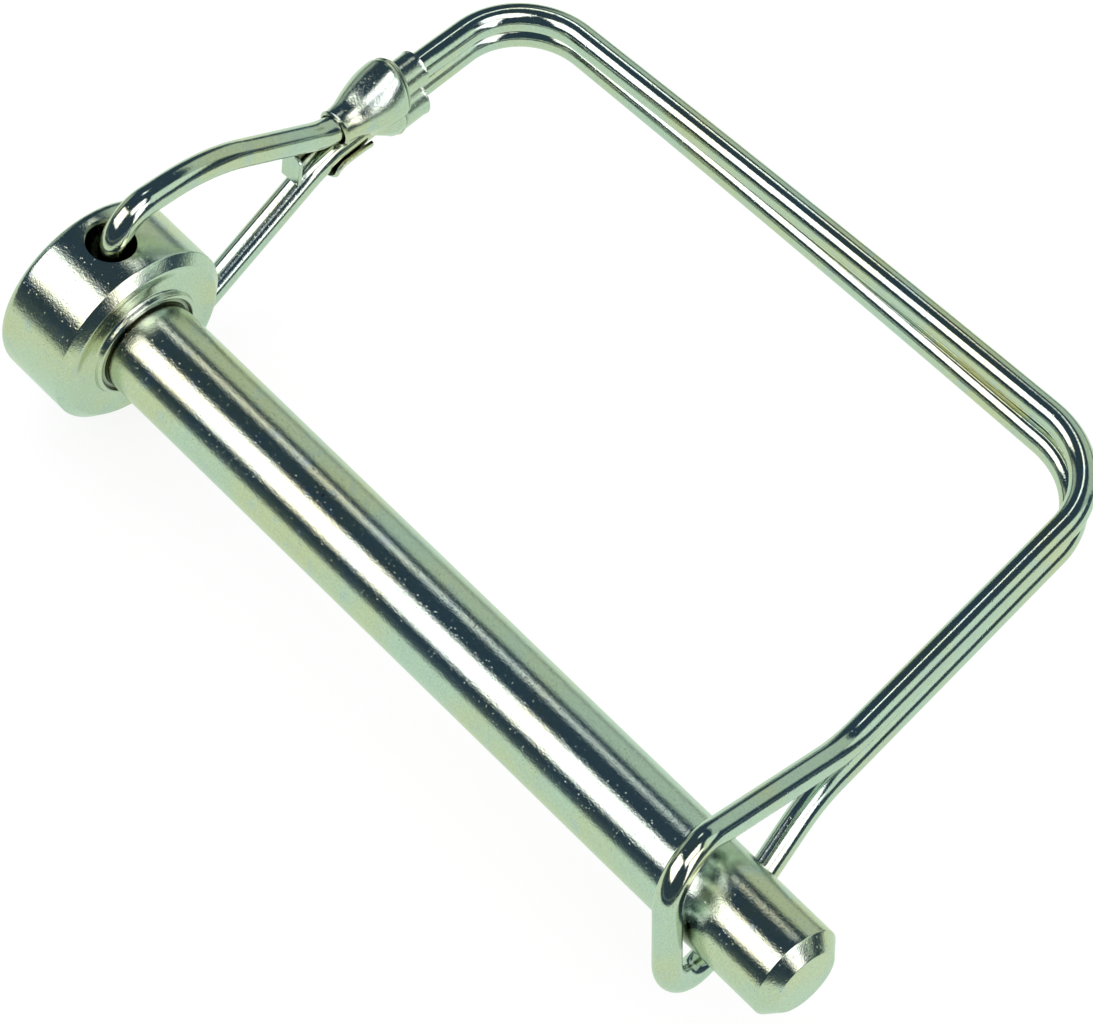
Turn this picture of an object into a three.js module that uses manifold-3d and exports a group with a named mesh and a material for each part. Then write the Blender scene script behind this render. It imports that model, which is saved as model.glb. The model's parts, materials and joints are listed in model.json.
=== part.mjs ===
// A square wire lock pin: a headed pin whose doubled spring-wire bail snaps round the shank near its tip.
// Millimetres. The origin is the centre of the head's outer face, +X runs along the shank to the tip,
// +Y points to the side where the bail stands and +Z is the way the head's cross-hole runs.
// Every X below is measured from the head's seating face, and the finished assembly is moved at the end.
import * as THREE from "three";
import { mergeVertices } from "three/addons/utils/BufferGeometryUtils.js";
import Module from "manifold-3d";

// Pin.
const SHANK_D = 7.94;
const SHANK_R = SHANK_D / 2;
const HEAD_R = SHANK_D;
const HEAD_LENGTH = 7.9;
const HEAD_FRONT_CHAMFER = 0.7;
const HEAD_BACK_ROUND = 1.1;
const COLLAR_R = 4.7;
const COLLAR_HEIGHT = 0.4;
const TIP_X = 73.7;
const TIP_CHAMFER_LENGTH = 1.15;
const TIP_FACE_R = 2.8;

// Cross-hole through the head, which the two ends of the wire hang in.
const HOLE_X = -4;
const HOLE_R = 1.6;
const HOLE_RIM_R = 1.9;
const HOLE_RIM_DEPTH = 0.4;

// Wire bail, a doubled strand: the upper one at +STRAND_Z and the lower one at -STRAND_Z.
const WIRE_R = 1.1;
const CLEARANCE = 0.3;
const STRAND_Z = WIRE_R + CLEARANCE / 2;
const LEFT_LEAN = THREE.MathUtils.degToRad(4.7);
const WIRE_END_Z = 3;
const HOOK_TOP_Z = 10.5;
const HOOK_BEND_R = 3.2;
const ARCH_BEND_R = 20;
const JOIN_BEND_R = 8;
const UPPER_ARCH = { along: 9.8, z: 9.5, joinAt: 23.6 };
const LOWER_ARCH = { along: 9, z: 8.3, joinAt: 22.8 };
const LEFT_CORNER = { x: -7.6, upperY: 44.65, lowerY: 45.2, bendR: 6.5 };
const RIGHT_CORNER = { x: 55.65, upperY: 48.75, lowerY: 47.85, bendR: 8 };
const FLEX_SPLIT_Y = 40;

// Loop that snaps round the shank: from the neck two legs spread apart to a round end.
// The lower leg parts from the pair a little later and ends a little nearer the tip than the upper one.
const LOOP_NECK = { x: 61.15, y: 15, bendR: 12 };
const LOOP_UPPER = { neckY: 15.2, barX: 63.8, barY: -5.4, barZ: 8.9 };
const LOOP_LOWER = { neckY: 11.8, barX: 66, barY: -5.6, barZ: 8.2 };
const LOOP_BEND_R = 3.8;

// Sheet-metal clip, measured along the left side of the bail from the hole's axis.
// A sleeve wraps the upper strand and swells to an oval round both, a two-lobed band follows,
// and the back of the sheet carries a trough under the lower strand and a tongue between the strands.
const SHEET = 0.4;
const CLIP_BORE_R = WIRE_R + CLEARANCE;
const ROLL_R = CLIP_BORE_R + SHEET;
const SLEEVE = [
  { along: 24, halfX: ROLL_R, halfZ: ROLL_R, z: STRAND_Z },
  { along: 27.5, halfX: 2.5, halfZ: 3.1, z: 1.1 },
  { along: 30, halfX: 2.2, halfZ: 3.4, z: 0.6 },
];
const SLEEVE_END = SLEEVE[SLEEVE.length - 1].along;
const BAND = { end: 32.7, lobeZ: 1.3 };
const TROUGH = { start: 23.2, end: 27.2, topZ: -0.9 };
const BACK_HALF_HEIGHT = 1.9;
const TONGUE = { along: 19.7, halfHeight: 1.5, reach: 0.3 };

const PIN_SIDES = 72;
const BACK_ROUND_STEPS = 3;
const HOLE_SIDES = 40;
const WIRE_SIDES = 12;
const SHEET_SIDES = 32;
const WIRE_STEP = 1.5;

const wasm = await Module();
wasm.setup();

function solid(geometry) {
  const bare = geometry.index ? geometry.toNonIndexed() : geometry.clone();
  bare.deleteAttribute("normal");
  bare.deleteAttribute("uv");
  const merged = mergeVertices(bare, 1e-4);
  return new wasm.Manifold(new wasm.Mesh({
    numProp: 3,
    vertProperties: new Float32Array(merged.attributes.position.array),
    triVerts: new Uint32Array(merged.index.array),
  }));
}

function geometryOf(manifold) {
  const mesh = manifold.getMesh();
  const geometry = new THREE.BufferGeometry();
  geometry.setAttribute("position", new THREE.BufferAttribute(new Float32Array(mesh.vertProperties), 3));
  geometry.setIndex(new THREE.BufferAttribute(new Uint32Array(mesh.triVerts), 1));
  geometry.computeVertexNormals();
  return geometry;
}

function vec(x, y, z) {
  return new THREE.Vector3(x, y, z);
}

// An arc from start to end about centre, turned by angle about axis.
class Bend extends THREE.Curve {
  constructor(centre, start, axis, angle) {
    super();
    this.centre = centre;
    this.arm = start.clone().sub(centre);
    this.axis = axis;
    this.angle = angle;
  }

  getPoint(t, target = new THREE.Vector3()) {
    return target.copy(this.arm).applyAxisAngle(this.axis, this.angle * t).add(this.centre);
  }
}

// Straight runs between the corners of a polyline, with a round bend at each inner corner.
function bentPath(corners) {
  const path = new THREE.CurvePath();
  let from = corners[0].at;
  for (let i = 1; i < corners.length - 1; i += 1) {
    const { at, bendR } = corners[i];
    const back = corners[i - 1].at.clone().sub(at).normalize();
    const ahead = corners[i + 1].at.clone().sub(at).normalize();
    const half = back.angleTo(ahead) / 2;
    const run = bendR / Math.tan(half);
    const start = at.clone().addScaledVector(back, run);
    const towards = back.clone().add(ahead).normalize();
    const centre = at.clone().addScaledVector(towards, bendR / Math.sin(half));
    const axis = ahead.clone().cross(back).normalize();
    path.add(new THREE.LineCurve3(from, start));
    path.add(new Bend(centre, start, axis, Math.PI - 2 * half));
    from = at.clone().addScaledVector(ahead, run);
  }
  path.add(new THREE.LineCurve3(from, corners[corners.length - 1].at));
  return path;
}

function roundBar(path, radius, step = WIRE_STEP) {
  const section = new THREE.Shape();
  section.absarc(0, 0, radius, 0, 2 * Math.PI, false);
  return new THREE.ExtrudeGeometry(section, {
    steps: Math.ceil(path.getLength() / step),
    curveSegments: WIRE_SIDES / 2,
    bevelEnabled: false,
    extrudePath: path,
  });
}

// A turned shape about +X from [x, r] pairs that run from the low end to the high end.
function turned(outline, sides) {
  const profile = outline.map(([x, r]) => new THREE.Vector2(r, x));
  return new THREE.LatheGeometry(profile, sides).rotateZ(-Math.PI / 2);
}

function pinGeometry() {
  const back = -HEAD_LENGTH;
  const backRound = [];
  for (let i = 0; i <= BACK_ROUND_STEPS; i += 1) {
    const a = (i / BACK_ROUND_STEPS) * (Math.PI / 2);
    backRound.push([
      back + HEAD_BACK_ROUND * (1 - Math.sin(a)),
      HEAD_R - HEAD_BACK_ROUND * (1 - Math.cos(a)),
    ]);
  }
  const body = solid(turned([
    [back, 0],
    ...backRound.reverse(),
    [-HEAD_FRONT_CHAMFER, HEAD_R],
    [0, HEAD_R - HEAD_FRONT_CHAMFER],
    [0, COLLAR_R],
    [COLLAR_HEIGHT, COLLAR_R - COLLAR_HEIGHT / 2],
    [COLLAR_HEIGHT, SHANK_R],
    [TIP_X - TIP_CHAMFER_LENGTH, SHANK_R],
    [TIP_X, TIP_FACE_R],
    [TIP_X, 0],
  ], PIN_SIDES));
  const reach = HEAD_R + 1;
  const rimEdge = Math.sqrt(HEAD_R ** 2 - HOLE_RIM_R ** 2);
  const hole = solid(turned([
    [-reach, 0],
    [-reach, HOLE_RIM_R + reach - rimEdge],
    [-rimEdge + HOLE_RIM_DEPTH, HOLE_R],
    [rimEdge - HOLE_RIM_DEPTH, HOLE_R],
    [reach, HOLE_RIM_R + reach - rimEdge],
    [reach, 0],
  ], HOLE_SIDES).rotateY(-Math.PI / 2).translate(HOLE_X, 0, 0));
  return geometryOf(body.subtract(hole));
}

// A point on the left side of the bail, at a distance along it from the hole's axis.
function leftSide(along, z) {
  return vec(HOLE_X - along * Math.sin(LEFT_LEAN), along * Math.cos(LEFT_LEAN), z);
}

// The end of a strand nearest the head, in order from the cross-hole: side is 1 above and -1 below.
function headEnd(side, place) {
  const arch = side > 0 ? UPPER_ARCH : LOWER_ARCH;
  return [
    { at: place(0, side * WIRE_END_Z) },
    { at: place(0, side * HOOK_TOP_Z), bendR: HOOK_BEND_R },
    { at: place(arch.along, side * arch.z), bendR: ARCH_BEND_R },
    { at: place(arch.joinAt, side * STRAND_Z), bendR: JOIN_BEND_R },
  ];
}

// Where a strand crosses a given Y on its way down the short side.
function shortSide(cornerY, y, side) {
  const t = (cornerY - y) / (cornerY - LOOP_NECK.y);
  return vec(THREE.MathUtils.lerp(RIGHT_CORNER.x, LOOP_NECK.x, t), y, side * STRAND_Z);
}

function bailStrand(side) {
  const leftY = side > 0 ? LEFT_CORNER.upperY : LEFT_CORNER.lowerY;
  const rightY = side > 0 ? RIGHT_CORNER.upperY : RIGHT_CORNER.lowerY;
  return bentPath([
    ...headEnd(side, leftSide),
    { at: vec(LEFT_CORNER.x, leftY, side * STRAND_Z), bendR: LEFT_CORNER.bendR },
    { at: vec(RIGHT_CORNER.x, rightY, side * STRAND_Z), bendR: RIGHT_CORNER.bendR },
    { at: shortSide(rightY, FLEX_SPLIT_Y + CLEARANCE / 2, side) },
  ]);
}

function latchPath() {
  const start = FLEX_SPLIT_Y - CLEARANCE / 2;
  const half = (side, cornerY, { neckY, barX, barY, barZ }) => [
    { at: shortSide(cornerY, neckY, side), bendR: LOOP_NECK.bendR },
    { at: vec(barX, barY, side * barZ), bendR: LOOP_BEND_R },
  ];
  return bentPath([
    { at: shortSide(RIGHT_CORNER.upperY, start, 1) },
    ...half(1, RIGHT_CORNER.upperY, LOOP_UPPER),
    ...half(-1, RIGHT_CORNER.lowerY, LOOP_LOWER).reverse(),
    { at: shortSide(RIGHT_CORNER.lowerY, start, -1) },
  ]);
}

// A round bar about +Y between two distances along the strands.
function barAlong(start, end, radius, z) {
  return new THREE.CylinderGeometry(radius, radius, end - start, SHEET_SIDES)
    .translate(0, (start + end) / 2, z);
}

function slab(low, high) {
  const size = high.clone().sub(low);
  const centre = low.clone().add(high).divideScalar(2);
  return new THREE.BoxGeometry(size.x, size.y, size.z).translate(centre.x, centre.y, centre.z);
}

// A sleeve lofted through the oval sections of SLEEVE, each drawn in by inset.
function loftedSleeve(inset) {
  const geometry = new THREE.CylinderGeometry(1, 1, 1, SHEET_SIDES, SLEEVE.length - 1);
  const position = geometry.attributes.position;
  for (let i = 0; i < position.count; i += 1) {
    const { along, halfX, halfZ, z } = SLEEVE[Math.round((position.getY(i) + 0.5) * (SLEEVE.length - 1))];
    const x = position.getX(i) * (halfX - inset);
    position.setXYZ(i, x, along + inset, position.getZ(i) * (halfZ - inset) + z);
  }
  return geometry;
}

// The clip is drawn with its strands along +Y and turned onto the bail's leaning left side.
function clipGeometry() {
  const straight = (along, z) => vec(0, along, z);
  const strand = (side) => bentPath([
    ...headEnd(side, straight),
    { at: straight(BAND.end + 2, side * STRAND_Z) },
  ]);
  const sleeve = solid(loftedSleeve(0));
  const hollow = solid(loftedSleeve(SHEET));
  const lobes = [1, -1].map((side) => solid(barAlong(SLEEVE_END - SHEET, BAND.end, ROLL_R, side * BAND.lobeZ)));
  const trough = solid(roundBar(strand(-1), ROLL_R))
    .intersect(solid(slab(vec(-9, TROUGH.start, -9), vec(9, TROUGH.end, TROUGH.topZ))));
  const back = slab(
    vec(-ROLL_R, TONGUE.along, -BACK_HALF_HEIGHT),
    vec(-CLIP_BORE_R, SLEEVE_END, BACK_HALF_HEIGHT),
  );
  const tongue = slab(
    vec(-ROLL_R, TONGUE.along, -TONGUE.halfHeight),
    vec(TONGUE.reach, TONGUE.along + SHEET, TONGUE.halfHeight),
  );
  let clip = sleeve.subtract(hollow).add(lobes[0]).add(lobes[1]);
  clip = clip.add(trough).add(solid(back)).add(solid(tongue));
  for (const side of [1, -1]) {
    clip = clip.subtract(solid(roundBar(strand(side), CLIP_BORE_R)));
  }
  return geometryOf(clip);
}

const zinc = { roughness: 0.25, metalness: 1 };

function addMesh(group, name, geometry, colour) {
  const material = new THREE.MeshStandardMaterial({ color: colour, ...zinc });
  const mesh = new THREE.Mesh(geometry, material);
  mesh.name = name;
  group.add(mesh);
  return mesh;
}

const assembly = new THREE.Group();
addMesh(assembly, "pin", pinGeometry(), 0xb4c4b6);
addMesh(assembly, "bail_upper_strand", roundBar(bailStrand(1), WIRE_R), 0xa9bcae);
addMesh(assembly, "bail_lower_strand", roundBar(bailStrand(-1), WIRE_R), 0xa9bcae);
addMesh(assembly, "latch_loop", roundBar(latchPath(), WIRE_R), 0xa9bcae);
const clip = addMesh(assembly, "wire_clip", clipGeometry(), 0xb0bfa8);
clip.position.set(HOLE_X, 0, 0);
clip.rotation.z = LEFT_LEAN;
assembly.position.x = HEAD_LENGTH;

const lockPin = new THREE.Group();
lockPin.add(assembly);

export default lockPin;
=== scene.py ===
import json
import math

import bmesh
import bpy
from mathutils import Matrix, Quaternion, Vector


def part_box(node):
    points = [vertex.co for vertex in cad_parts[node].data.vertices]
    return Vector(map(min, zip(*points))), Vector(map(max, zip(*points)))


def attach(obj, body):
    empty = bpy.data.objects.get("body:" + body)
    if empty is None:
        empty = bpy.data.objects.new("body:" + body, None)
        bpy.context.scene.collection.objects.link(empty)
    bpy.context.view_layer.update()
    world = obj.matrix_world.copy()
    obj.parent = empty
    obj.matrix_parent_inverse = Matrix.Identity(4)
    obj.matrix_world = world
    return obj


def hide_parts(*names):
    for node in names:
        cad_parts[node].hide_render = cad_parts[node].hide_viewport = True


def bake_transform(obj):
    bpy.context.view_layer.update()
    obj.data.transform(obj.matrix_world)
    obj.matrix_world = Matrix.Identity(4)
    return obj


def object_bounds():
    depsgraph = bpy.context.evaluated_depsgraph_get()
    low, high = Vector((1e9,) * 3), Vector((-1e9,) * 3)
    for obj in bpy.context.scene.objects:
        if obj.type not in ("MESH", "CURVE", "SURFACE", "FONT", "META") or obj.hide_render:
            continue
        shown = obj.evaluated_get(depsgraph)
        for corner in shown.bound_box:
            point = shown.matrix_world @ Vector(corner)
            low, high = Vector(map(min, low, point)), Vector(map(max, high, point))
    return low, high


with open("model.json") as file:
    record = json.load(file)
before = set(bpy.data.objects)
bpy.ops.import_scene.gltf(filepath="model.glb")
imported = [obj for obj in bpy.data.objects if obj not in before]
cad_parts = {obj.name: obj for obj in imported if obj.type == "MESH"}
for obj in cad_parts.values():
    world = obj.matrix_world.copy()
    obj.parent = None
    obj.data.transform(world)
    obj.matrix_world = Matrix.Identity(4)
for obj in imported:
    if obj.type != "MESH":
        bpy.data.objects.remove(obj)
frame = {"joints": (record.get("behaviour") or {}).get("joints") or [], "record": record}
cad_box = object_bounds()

# A square wire lock pin in zinc plated steel. Lengths are millimetres in the part's own layout: X runs from
# the head's seating face towards the tip, Y towards the bail, and Z along the cross-hole.
MM = 0.001
SEAT = next(m for m in frame["record"]["mounts"] if m["name"] == "seat_face")["pos_m"][0] / MM
SWING = next(j for j in frame["joints"] if j["name"] == "bail_swing")["pos_m"][0] / MM
HOLE_X = SWING - SEAT
TIP_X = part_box("pin")[1].x / MM - SEAT
HEAD_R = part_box("pin")[1].z / MM

# Pin. The cross-hole's shift is along X and Y, off the axis that the bail swings about.
SHANK_R = 3.97
COLLAR_R = 4.72
HEAD_CHAMFER = 0.8
TIP_CHAMFER = 1.15
TIP_FACE_R = 2.8
HOLE_R = 1.7
HOLE_RIM_R = 1.95
HOLE_SHIFT = (-0.3, 0.1)

# Wire bail. Values for its two strands are kept under 1 for the upper one and -1 for the lower one.
WIRE_R = 1.12
STRAND_Z = 1.13
CLIP_STRAND_Z = 1.3
# Z of a strand's end inside the cross-hole, and of the corner where its hook bends over towards the clip.
HOOK_END_Z = 3.0
HOOK_TOP_Z = 10.5
# The arch from the hook to the clip: its bend's distance along the left side and Z, and where it ends.
ARCH = {1: (9.8, 9.4, 23.4), -1: (9.0, 8.3, 22.7)}
# Where the strands lie close together again, past the clip.
CLIP_END = 34.5
LEFT_LEAN = math.radians(4.7)
# X and Y of the bail's two far corners, at the head's end and at the tip's end.
LEFT = {1: (-7.43, 44.65), -1: (-7.75, 45.15)}
RIGHT = {1: (55.6, 48.8), -1: (55.8, 47.8)}
# How far the middle of the long side bows outwards.
BOW = {1: 0.3, -1: 0.45}
# The short side's line runs from the right corner to this point.
NECK_X = {1: 61.05, -1: 61.3}
NECK_Y = 15.0
# The open loop: the Y where a strand leaves the short side, then its corner's X, Y and distance from Z = 0.
LOOP = {1: (15.2, 63.8, -5.35, 8.9), -1: (11.8, 66.0, -5.55, 8.2)}
HOOK_BEND_R = 3.2
ARCH_BEND_R = 20
CLIP_BEND_R = 8
CLIP_END_BEND_R = 40
LEFT_BEND_R = 6.5
BOW_BEND_R = 1800
RIGHT_BEND_R = 8.0
NECK_BEND_R = 12
LOOP_BEND_R = 3.9

# Stamped sheet clip.
SHEET = 0.32
SHEET_BEVEL = 0.07
BACK_OUT = -1.22

# Depth of the plating's grain.
GRAIN_DEPTH = 0.012 * MM

# Camera: azimuth, elevation and roll in degrees, and the lens in millimetres on a 36 mm wide sensor.
CAMERA_TURN = (42.956, 53.485, 6.774)
CAMERA_TARGET = (30.821, 13.296, -0.208)
CAMERA_DISTANCE = 558.35
CAMERA_LENS = 247.04

# Radiance of the unlit part of the studio, as polished metal sees it.
SHADE = (0.032, 0.058, 0.086)
WHITE = (1.0, 1.0, 1.0)


def place(x, y, z):
    """A point of the layout, in the frame and in metres."""
    return Vector((x + SEAT, y, z)) * MM


def left_side(along, z, out=0.0):
    """A point beside the bail's left side: along it from the cross-hole, out towards the tip."""
    x = HOLE_X - along * math.sin(LEFT_LEAN) + out * math.cos(LEFT_LEAN)
    y = along * math.cos(LEFT_LEAN) + out * math.sin(LEFT_LEAN)
    return Vector((x, y, z))


def bent(corners, step, arc_step):
    """Points along straight runs joined by round bends. A corner is (point, bend radius)."""
    points = [corners[0][0].copy()]

    def run_to(end):
        start = points[-1].copy()
        count = max(1, math.ceil((end - start).length / step))
        points.extend(start.lerp(end, k / count) for k in range(1, count + 1))

    for i in range(1, len(corners) - 1):
        at, bend_r = corners[i]
        back = (corners[i - 1][0] - at).normalized()
        ahead = (corners[i + 1][0] - at).normalized()
        half = back.angle(ahead) / 2
        run = bend_r / math.tan(half)
        centre = at + (back + ahead).normalized() * (bend_r / math.sin(half))
        arm = at + back * run - centre
        axis = arm.cross(at + ahead * run - centre).normalized()
        angle = math.pi - 2 * half
        run_to(at + back * run)
        count = max(5, math.ceil(angle * bend_r / arc_step))
        for k in range(1, count + 1):
            points.append(centre + Quaternion(axis, angle * k / count) @ arm)
    run_to(corners[-1][0])
    return points


def shade_smooth(mesh, sharp):
    """Smooth shading, apart from edges that turn more than this many degrees."""
    mesh.polygons.foreach_set("use_smooth", [True] * len(mesh.polygons))
    mesh.set_sharp_from_angle(angle=math.radians(sharp))


def tube_faces(rings, sides):
    """Quads between neighbouring rings of points, ring by ring."""
    faces = []
    for i in range(rings - 1):
        for k in range(sides):
            n = (k + 1) % sides
            faces.append((i * sides + k, i * sides + n, (i + 1) * sides + n, (i + 1) * sides + k))
    return faces


def new_object(name, verts, faces, uvs=None, sharp=35):
    mesh = bpy.data.meshes.new(name)
    mesh.from_pydata([tuple(v) for v in verts], [], faces)
    if uvs:
        layer = mesh.uv_layers.new(name="along")
        for loop, uv in zip(layer.data, uvs):
            loop.uv = uv
    shade_smooth(mesh, sharp)
    mesh.validate()
    obj = bpy.data.objects.new(name, mesh)
    bpy.context.scene.collection.objects.link(obj)
    return obj


def apply_modifiers(obj, sharp):
    bpy.context.view_layer.update()
    graph = bpy.context.evaluated_depsgraph_get()
    mesh = bpy.data.meshes.new_from_object(obj.evaluated_get(graph), depsgraph=graph)
    obj.modifiers.clear()
    obj.data = mesh
    shade_smooth(mesh, sharp)
    return obj


def lathe(name, profile, sides, to_world):
    """Turns (x, r) points about X. The first and last points are on the axis."""
    verts = []
    inner = profile[1:-1]
    for x, r in inner:
        for k in range(sides):
            a = 2 * math.pi * k / sides
            verts.append(to_world(x, r * math.cos(a), r * math.sin(a)))
    faces = tube_faces(len(inner), sides)
    for (x, _), ring, flip in ((profile[0], 0, False), (profile[-1], len(inner) - 1, True)):
        verts.append(to_world(x, 0, 0))
        for k in range(sides):
            tri = (ring * sides + (k + 1) % sides, ring * sides + k, len(verts) - 1)
            faces.append(tri[::-1] if flip else tri)
    obj = new_object(name, verts, faces)
    shape = bmesh.new()
    shape.from_mesh(obj.data)
    bmesh.ops.recalc_face_normals(shape, faces=shape.faces)
    shape.to_mesh(obj.data)
    shape.free()
    return obj


def rounded_profile(corners):
    """(x, r) points along an outline whose corners are (x, r, bend radius). Its ends have no bend."""
    path = [(Vector((c[0], c[1], 0)), c[2] if len(c) > 2 else 0) for c in corners]
    return [(p.x, p.y) for p in bent(path, step=0.5, arc_step=0.12)]


def build_pin():
    body = lathe("pin_plated", rounded_profile([
        (-SEAT, 0),
        (-SEAT, 5.6, 6),
        (-SEAT + 0.12, 6.6, 1.2),
        (-SEAT + 0.3, HEAD_R, 0.9),
        (-0.78, HEAD_R, 0.22),
        (-0.06, HEAD_R - HEAD_CHAMFER, 0.16),
        (0, 6.95, 0.5),
        (-0.3, 5.9, 1.6),
        (-0.12, 4.85, 0.3),
        (0.42, COLLAR_R, 0.2),
        (0.44, 4.42, 0.12),
        (0.12, 4.3, 0.1),
        (0.16, SHANK_R, 0.12),
        (TIP_X - TIP_CHAMFER, SHANK_R, 0.2),
        (TIP_X, TIP_FACE_R, 0.2),
        (TIP_X + 0.03, 0),
    ]), 224, place)
    # The cutter flares at both ends, which eases the rims of the cross-hole.
    flare = [(12, 6.2, 0.2), (7.75, HOLE_RIM_R, 0.5), (7.1, HOLE_R, 0.9)]
    near = [(-z, r, bend_r) for z, r, bend_r in flare]
    shift_x, shift_y = HOLE_SHIFT
    cutter = lathe(
        "hole_cutter",
        rounded_profile([(-12, 0), *near, *flare[::-1], (12, 0)]),
        128,
        lambda x, y, z: place(HOLE_X + shift_x + z, y + shift_y, x),
    )
    cut = body.modifiers.new("hole", "BOOLEAN")
    cut.operation = "DIFFERENCE"
    cut.solver = "EXACT"
    cut.object = cutter
    apply_modifiers(body, 30)
    bpy.data.objects.remove(cutter)
    return body


def head_end(side):
    """Corners of one strand from its end in the cross-hole to just past the clip."""
    arch_along, arch_z, arch_end = ARCH[side]
    return [
        (left_side(0, side * HOOK_END_Z), 0),
        (left_side(0, side * HOOK_TOP_Z), HOOK_BEND_R),
        (left_side(arch_along, side * arch_z), ARCH_BEND_R),
        (left_side(arch_end, side * CLIP_STRAND_Z), CLIP_BEND_R),
        (left_side(CLIP_END, side * STRAND_Z), CLIP_END_BEND_R),
    ]


def short_side(y, side):
    """The point of the bail's short side at this Y."""
    corner_x, corner_y = RIGHT[side]
    t = (corner_y - y) / (corner_y - NECK_Y)
    return Vector((corner_x + (NECK_X[side] - corner_x) * t, y, side * STRAND_Z))


def half_bail(side):
    """Corners of one strand, from the cross-hole round to the middle of the loop."""
    neck_y, bar_x, bar_y, bar_z = LOOP[side]
    z = side * STRAND_Z
    left, right = Vector((*LEFT[side], z)), Vector((*RIGHT[side], z))
    return head_end(side) + [
        (left, LEFT_BEND_R),
        ((left + right) / 2 + Vector((0, BOW[side], 0)), BOW_BEND_R),
        (right, RIGHT_BEND_R),
        (short_side(neck_y, side), NECK_BEND_R),
        (Vector((bar_x, bar_y, side * bar_z)), LOOP_BEND_R),
    ]


def build_wire():
    """One round wire swept along both strands. Its UVs are the length along it and the turn round it."""
    points = bent(half_bail(1) + half_bail(-1)[::-1], step=0.55, arc_step=0.4)
    sides = 28
    end_ease, end_scale = 0.16, 0.8
    count = len(points)
    tangents = [
        (points[min(i + 1, count - 1)] - points[max(i - 1, 0)]).normalized()
        for i in range(count)
    ]
    normal = tangents[0].orthogonal().normalized()
    # A ring: centre, size, a direction across the wire, the direction along it, and the length so far.
    rings = [(points[0] - tangents[0] * end_ease, end_scale, normal, tangents[0], -end_ease)]
    length = 0.0
    for i in range(count):
        if i:
            normal = (tangents[i - 1].rotation_difference(tangents[i]) @ normal).normalized()
            length += (points[i] - points[i - 1]).length
        rings.append((points[i], 1.0, normal, tangents[i], length))
    rings.append((points[-1] + tangents[-1] * end_ease, end_scale, normal, tangents[-1], length + end_ease))
    verts = []
    for at, scale, n, t, _ in rings:
        b = t.cross(n)
        for k in range(sides):
            a = 2 * math.pi * k / sides
            verts.append(place(*(at + (n * math.cos(a) + b * math.sin(a)) * WIRE_R * scale)))
    faces, uvs = tube_faces(len(rings), sides), []
    for ring, following in zip(rings, rings[1:]):
        low, high = ring[4], following[4]
        for k in range(sides):
            start, end = k / sides, (k + 1) / sides
            uvs += [(low, start), (low, end), (high, end), (high, start)]
    faces.append(tuple(range(sides))[::-1])
    faces.append(tuple(range((len(rings) - 1) * sides, len(rings) * sides)))
    uvs += [(0, 0)] * (2 * sides)
    return new_object("wire_bail", verts, faces, uvs, sharp=50)


def sheet(name, rows, inward=False):
    """A sheet of metal from rows of points on one of its faces, thickened, rolled smooth and deburred."""
    width = len(rows[0])
    verts = [place(*p) for row in rows for p in row]
    faces = []
    for i in range(len(rows) - 1):
        for k in range(width - 1):
            a = i * width + k
            faces.append((a, a + 1, a + width + 1, a + width))
    obj = new_object(name, verts, faces)
    solid = obj.modifiers.new("thickness", "SOLIDIFY")
    solid.thickness = SHEET * MM
    solid.offset = -1 if inward else 1
    edge = obj.modifiers.new("edge", "BEVEL")
    edge.width = SHEET_BEVEL * MM
    edge.segments = 3
    edge.limit_method = "ANGLE"
    edge.angle_limit = math.radians(50)
    return apply_modifiers(obj, 40)


def smooth_rows(keys, count):
    """Tuples of numbers along a Catmull-Rom curve through the keys."""
    rows = []
    last = len(keys) - 1
    for i in range(count + 1):
        s = i / count * last
        j = min(int(s), last - 1)
        t = s - j
        p = [keys[max(0, min(last, j + o))] for o in (-1, 0, 1, 2)]
        row = []
        for a, b, c, d in zip(*p):
            square = (2 * a - 5 * b + 4 * c - d) * t * t
            cube = (3 * b - a - 3 * c + d) * t ** 3
            row.append(0.5 * (2 * b + (c - a) * t + square + cube))
        rows.append(tuple(row))
    return rows


def flat_row(along, half, out, shift=0.0):
    """Thirteen points in a row across the strands, reaching this far to each side of the shift."""
    return [left_side(along, half * (k / 6 - 1) + shift, out) for k in range(13)]


def build_sleeve():
    """The sleeve grips the upper strand, swells into an oval round both and ends in a grooved rim."""
    # Along, half width, half height, the middle's Z, and the opening at the bottom in degrees.
    keys = smooth_rows([
        (23.9, 1.34, 1.34, 1.3, 4),
        (24.2, 1.17, 1.17, 1.3, 4),
        (25.4, 1.3, 1.28, 1.3, 5),
        (26.8, 1.75, 2.0, 1.2, 38),
        (28.2, 2.15, 2.85, 0.9, 42),
        (29.2, 2.25, 3.5, 0.6, 34),
        (29.6, 2.2, 3.6, 0.55, 30),
        (29.85, 1.95, 3.35, 0.55, 28),
        (30.1, 2.0, 3.45, 0.5, 26),
        (30.3, 2.2, 3.75, 0.45, 24),
    ], 84)
    rows = []
    for along, half_w, half_z, middle, gap in keys:
        reach = math.radians(180 - gap)
        crease = 0.15 * min(1.0, max(0.0, (along - 25.5) / 3))
        row = []
        for k in range(73):
            s = reach * (2 * k / 72 - 1)
            z = middle + half_z * math.cos(s)
            pinch = 1 - crease * math.exp(-((z - 0.15) / 0.6) ** 2)
            row.append(left_side(along, z, half_w * math.sin(s) * pinch))
        rows.append(row)
    return sheet("clip_sleeve", rows)


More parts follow.
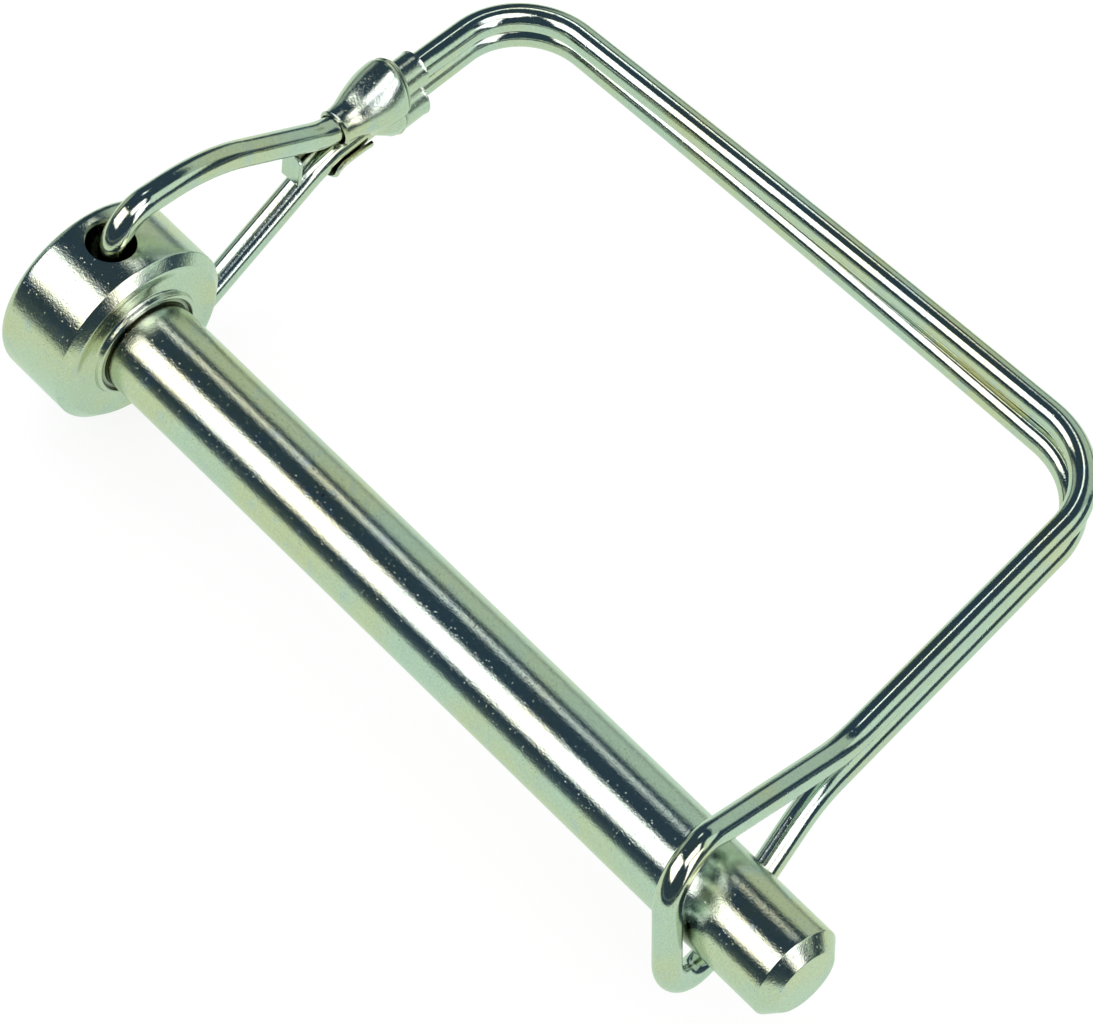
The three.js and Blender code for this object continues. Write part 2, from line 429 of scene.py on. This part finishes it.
def build_band():
    """The band is a figure of eight round both strands, creased between them and open underneath."""
    # One lobe per strand: the middle's Z, the radius, and the arc's first and last angle in degrees.
    lobes = ((1.35, 1.5, 0, 150), (-1.75, 1.85, 14, 175))
    flares = [(30.0, 0.12), (30.5, 0.02), (31.5, 0.0), (32.6, 0.0), (32.9, 0.06)]
    rows = []
    for along, flare in smooth_rows(flares, 20):
        half = []
        for middle, radius, first, last in lobes:
            for k in range(25):
                a = math.radians(first + (last - first) * k / 24)
                half.append((middle + (radius + flare) * math.cos(a), (radius + flare) * math.sin(a)))
        near = [left_side(along, z, -w) for z, w in half[:0:-1]]
        rows.append(near + [left_side(along, z, w) for z, w in half])
    return sheet("clip_band", rows, inward=True)


def build_trough():
    """The trough is a half roll under the lower strand. Its free edge stands off towards the tip."""
    spreads = [(23.0, 0.12), (23.4, 0.03), (25.0, 0.0), (26.6, 0.02), (27.0, 0.08)]
    rows = []
    for along, spread in smooth_rows(spreads, 18):
        drop = max(0.0, (24.0 - along)) * 0.42
        radius = 1.22 + spread
        row = []
        for k in range(37):
            s = math.radians(278 - 186 * k / 36)
            z = -CLIP_STRAND_Z - drop + radius * math.cos(s)
            row.append(left_side(along, z, 0.04 + radius * math.sin(s)))
        rows.append(row)
    return sheet("clip_trough", rows, inward=True)


def build_back():
    """The back plate lies behind both strands and widens towards the band."""
    start = 19.75
    rows = []
    for along in (start, 21, 22.5, 24, 26, 28, 30):
        rows.append(flat_row(along, 1.5 + 0.25 * (along - start) / 10, BACK_OUT))
    return sheet("clip_back", rows, inward=True)


def build_tongue():
    """The tongue is folded up from the back plate's end, between the strands, and narrows as it rises."""
    rows = []
    for out in (BACK_OUT, -0.8, -0.3, 0.2, 0.55, 0.75):
        lean = 0.25 * max(0.0, out) ** 2
        half = 1.5 * math.sqrt(max(0.05, 1 - max(0.0, (out - 0.1) / 0.9) ** 2 * 0.5))
        rows.append(flat_row(19.6 - lean, half, out, shift=0.1))
    return sheet("clip_tongue", rows)


def new_tree(owner):
    """The empty node tree of a material or a world."""
    owner.use_nodes = True
    owner.node_tree.nodes.clear()
    return owner.node_tree


def node(tree, kind, inputs=None, **settings):
    """A new node. Each input is another node's output to link, or a plain value."""
    n = tree.nodes.new(kind)
    for key, value in settings.items():
        setattr(n, key, value)
    for key, value in (inputs or {}).items():
        if hasattr(value, "is_output"):
            tree.links.new(value, n.inputs[key])
        else:
            n.inputs[key].default_value = value
    return n


def math_node(tree, operation, *values):
    return node(tree, "ShaderNodeMath", dict(enumerate(values)), operation=operation).outputs[0]


def ramp(tree, value, low, high, start=0.0, end=1.0):
    """Turns values from low to high into values from start to end, with eased ends."""
    inputs = {"Value": value, "From Min": low, "From Max": high, "To Min": start, "To Max": end}
    return node(tree, "ShaderNodeMapRange", inputs, interpolation_type="SMOOTHSTEP").outputs["Result"]


def noise(tree, vector, scale, detail=3.0, roughness=0.55):
    inputs = {"Vector": vector, "Scale": scale, "Detail": detail, "Roughness": roughness}
    return node(tree, "ShaderNodeTexNoise", inputs).outputs[0]


def mix_colour(tree, factor, a, b, blend="MIX"):
    colours = [value if hasattr(value, "is_output") else (*value, 1.0) for value in (a, b)]
    # Inputs 6 and 7 and output 2 are the mix node's colour sockets.
    inputs = {0: factor, 6: colours[0], 7: colours[1]}
    return node(tree, "ShaderNodeMix", inputs, data_type="RGBA", blend_type=blend).outputs[2]


def zinc(name, along_wire=False, painted_shade_reach=0.0, grain=1.0):
    """Bright zinc plate: a faint green and yellow chromate tint, fine grain, pits and a few stains.

    Folds and hollows narrower than painted_shade_reach millimetres get painted shade; grain scales the
    bump.
    """
    material = bpy.data.materials.new(name)
    tree = new_tree(material)
    where = node(tree, "ShaderNodeTexCoord")
    in_mm = {0: where.outputs["Object"], "Scale": 1 / MM}
    scaled = node(tree, "ShaderNodeVectorMath", in_mm, operation="SCALE").outputs[0]
    tint = ramp(tree, noise(tree, scaled, 0.11, 2.0), 0.35, 0.68)
    patch = ramp(tree, noise(tree, scaled, 0.55, 4.0), 0.5, 0.72)
    colour = mix_colour(tree, tint, (0.605, 0.70, 0.635), (0.69, 0.69, 0.505))
    colour = mix_colour(tree, patch, colour, (0.59, 0.66, 0.64))
    fine = noise(tree, scaled, 6.0, 5.0, 0.65)
    colour = mix_colour(tree, 0.5, colour, ramp(tree, fine, 0.25, 0.75, 0.82, 1.18), "MULTIPLY")
    stain = ramp(tree, noise(tree, scaled, 0.9, 5.0, 0.7), 0.69, 0.76)
    colour = mix_colour(tree, stain, colour, (0.38, 0.30, 0.17))
    height = math_node(tree, "MULTIPLY", noise(tree, scaled, 2.6, 3.0, 0.6), 0.35)
    height = math_node(tree, "ADD", height, math_node(tree, "MULTIPLY", fine, 0.6))
    cells = node(tree, "ShaderNodeTexVoronoi", {"Vector": scaled, "Scale": 2.4}, feature="F1")
    height = math_node(tree, "ADD", height, ramp(tree, cells.outputs["Distance"], 0.05, 0.2, -0.5, 0.0))
    if along_wire:
        # Faint lines along the wire, from drawing it.
        stretch = {"Vector": where.outputs["UV"], "Scale": (0.12, 34.0, 1.0)}
        drawn = node(tree, "ShaderNodeMapping", stretch).outputs[0]
        height = math_node(tree, "ADD", height, math_node(tree, "MULTIPLY", noise(tree, drawn, 1.0), 0.5))
    depth = {"Height": height, "Strength": 1.0, "Distance": GRAIN_DEPTH * grain}
    bump = node(tree, "ShaderNodeBump", depth)
    rough = ramp(tree, noise(tree, scaled, 1.3, 4.0, 0.6), 0.3, 0.75, 0.04, 0.11)
    if painted_shade_reach:
        # Painted shade: the colour fades to near black where ambient occlusion finds folds, gaps or the
        # cross-hole within the reach.
        open_sky = node(tree, "ShaderNodeAmbientOcclusion", {"Distance": painted_shade_reach * MM}, samples=8)
        unshaded = ramp(tree, open_sky.outputs["AO"], 0.15, 0.85)
        colour = mix_colour(tree, unshaded, (0.05, 0.045, 0.02), colour)
    shader = node(tree, "ShaderNodeBsdfPrincipled", {
        "Base Color": colour, "Metallic": 1.0, "Roughness": rough, "Normal": bump.outputs["Normal"]})
    node(tree, "ShaderNodeOutputMaterial", {"Surface": shader.outputs[0]})
    return material


def window(tree, value, low, high, soft):
    """1 between low and high, 0 outside, with soft edges."""
    rise = ramp(tree, value, low - soft, low + soft)
    fall = ramp(tree, value, high - soft, high + soft, 1.0, 0.0)
    return math_node(tree, "MULTIPLY", rise, fall)


def build_world():
    """A pale studio with a few soft lights in a dark ceiling, which only polished metal sees."""
    world = bpy.data.worlds.new("studio")
    bpy.context.scene.world = world
    tree = new_tree(world)
    where = node(tree, "ShaderNodeTexCoord")
    axes = node(tree, "ShaderNodeSeparateXYZ", {0: where.outputs["Generated"]})
    x, y, z = axes.outputs
    turn = math_node(tree, "MULTIPLY", math_node(tree, "ARCTAN2", z, y), 180 / math.pi)
    # Each light: its low and high turn about the pin in degrees (0 is +Y, 90 is up, 180 is -Y), its near
    # and far direction along the pin (-1 to 1), the softness of those two ends, and its radiance.
    lights = [
        (113.5, 151.5, -0.8, 0.12, 0.03, (2.3, 2.3, 2.2)),
        (56.5, 67.5, -0.48, -0.385, 0.02, (2.1, 2.2, 2.1)),
        (68.0, 109.0, 0.18, 0.62, 0.03, (2.3, 2.3, 2.3)),
        (-30.0, 41.0, -0.58, 0.3, 0.06, (0.49, 0.60, 0.49)),
        (22.0, 54.0, 0.33, 0.8, 0.04, (0.76, 0.92, 0.77)),
        (50.0, 96.0, 0.68, 1.1, 0.03, (2.3, 2.3, 2.3)),
    ]
    below = ramp(tree, z, -0.05, 0.03, 1.0, 0.0)
    colour = mix_colour(tree, below, SHADE, (0.55, 0.69, 0.54))
    for low, high, near, far, soft, radiance in lights:
        band = window(tree, turn, low, high, 1.5)
        lit = math_node(tree, "MULTIPLY", band, window(tree, x, near, far, soft))
        colour = mix_colour(tree, lit, colour, radiance)
    # The wall that the head's outer face looks at is pale.
    beyond_head = ramp(tree, x, -0.97, -0.93, 1.0, 0.0)
    wall = math_node(tree, "MULTIPLY", beyond_head, ramp(tree, z, -0.1, 0.0))
    colour = mix_colour(tree, wall, colour, (0.42, 0.5, 0.42))
    path = node(tree, "ShaderNodeLightPath")
    plain = math_node(tree, "SUBTRACT", 1.0, path.outputs["Is Glossy Ray"])
    colour = mix_colour(tree, plain, colour, WHITE)
    back = node(tree, "ShaderNodeBackground", {"Color": colour, "Strength": 1.0})
    node(tree, "ShaderNodeOutputWorld", {"Surface": back.outputs[0]})


def build_floor():
    """A flat pale floor just under the part, in metres."""
    low = cad_box[0][2] - 0.0002
    reach = 0.9
    verts = [(x * reach, y * reach, low) for x, y in ((-1, -1), (1, -1), (1, 1), (-1, 1))]
    floor = new_object("floor", verts, [(0, 1, 2, 3)])
    material = bpy.data.materials.new("pale_floor")
    tree = new_tree(material)
    # Polished metal sees the floor faintly green, and dark where it looks along it.
    path = node(tree, "ShaderNodeLightPath")
    view = node(tree, "ShaderNodeSeparateXYZ", {0: node(tree, "ShaderNodeNewGeometry").outputs["Incoming"]})
    seen = mix_colour(tree, ramp(tree, view.outputs["Z"], 0.14, 0.22), SHADE, (0.68, 0.82, 0.67))
    colour = mix_colour(tree, path.outputs["Is Glossy Ray"], WHITE, seen)
    dimmed = mix_colour(tree, 1.0, colour, (0.25, 0.25, 0.25), "MULTIPLY")
    matt = node(tree, "ShaderNodeBsdfDiffuse", {"Color": dimmed})
    glow = node(tree, "ShaderNodeEmission", {"Color": colour, "Strength": 0.8})
    both = node(tree, "ShaderNodeAddShader", {0: matt.outputs[0], 1: glow.outputs[0]})
    node(tree, "ShaderNodeOutputMaterial", {"Surface": both.outputs[0]})
    floor.data.materials.append(material)


def build_camera():
    """A long lens that looks down along the pin from beyond its tip, on the side away from the bail."""
    azimuth, elevation, roll = (math.radians(a) for a in CAMERA_TURN)
    level = math.cos(elevation)
    back = Vector((math.sin(azimuth) * level, -math.cos(azimuth) * level, math.sin(elevation)))
    right = Vector((math.cos(azimuth), math.sin(azimuth), 0))
    up = back.cross(right)
    across = right * math.cos(roll) + up * math.sin(roll)
    above = up * math.cos(roll) - right * math.sin(roll)
    target = place(*CAMERA_TARGET)
    data = bpy.data.cameras.new("camera")
    data.sensor_fit = "HORIZONTAL"
    data.sensor_width = 36
    data.lens = CAMERA_LENS
    data.clip_start = 0.01
    camera = bpy.data.objects.new("camera", data)
    matrix = Matrix((across, above, back)).transposed().to_4x4()
    matrix.translation = target + back * (CAMERA_DISTANCE * MM)
    camera.matrix_world = matrix
    bpy.context.scene.collection.objects.link(camera)
    bpy.context.scene.camera = camera


def finish_piece(piece, material, slot, *nodes):
    """Gives a piece its material and hides the CAD nodes that it stands for; slot is not used."""
    piece.data.materials.clear()
    piece.data.materials.append(material)
    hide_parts(*nodes)


build_floor()

pin = build_pin()
finish_piece(pin, zinc("zinc_pin", painted_shade_reach=1.2, grain=1.9), "pin_zinc", "pin")
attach(pin, "pin_body")

wire = build_wire()
wire_zinc = zinc("zinc_wire", along_wire=True, grain=0.7)
finish_piece(wire, wire_zinc, "wire_zinc", "bail_upper_strand", "bail_lower_strand", "latch_loop")
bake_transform(wire)

clip_zinc = zinc("zinc_sheet", painted_shade_reach=1.6, grain=2.2)
for build in (build_sleeve, build_band, build_trough, build_back, build_tongue):
    part = build()
    finish_piece(part, clip_zinc, "sheet_zinc", "wire_clip")
    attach(part, "bail")

build_world()
build_camera()
bpy.context.scene.view_settings.view_transform = "Standard"
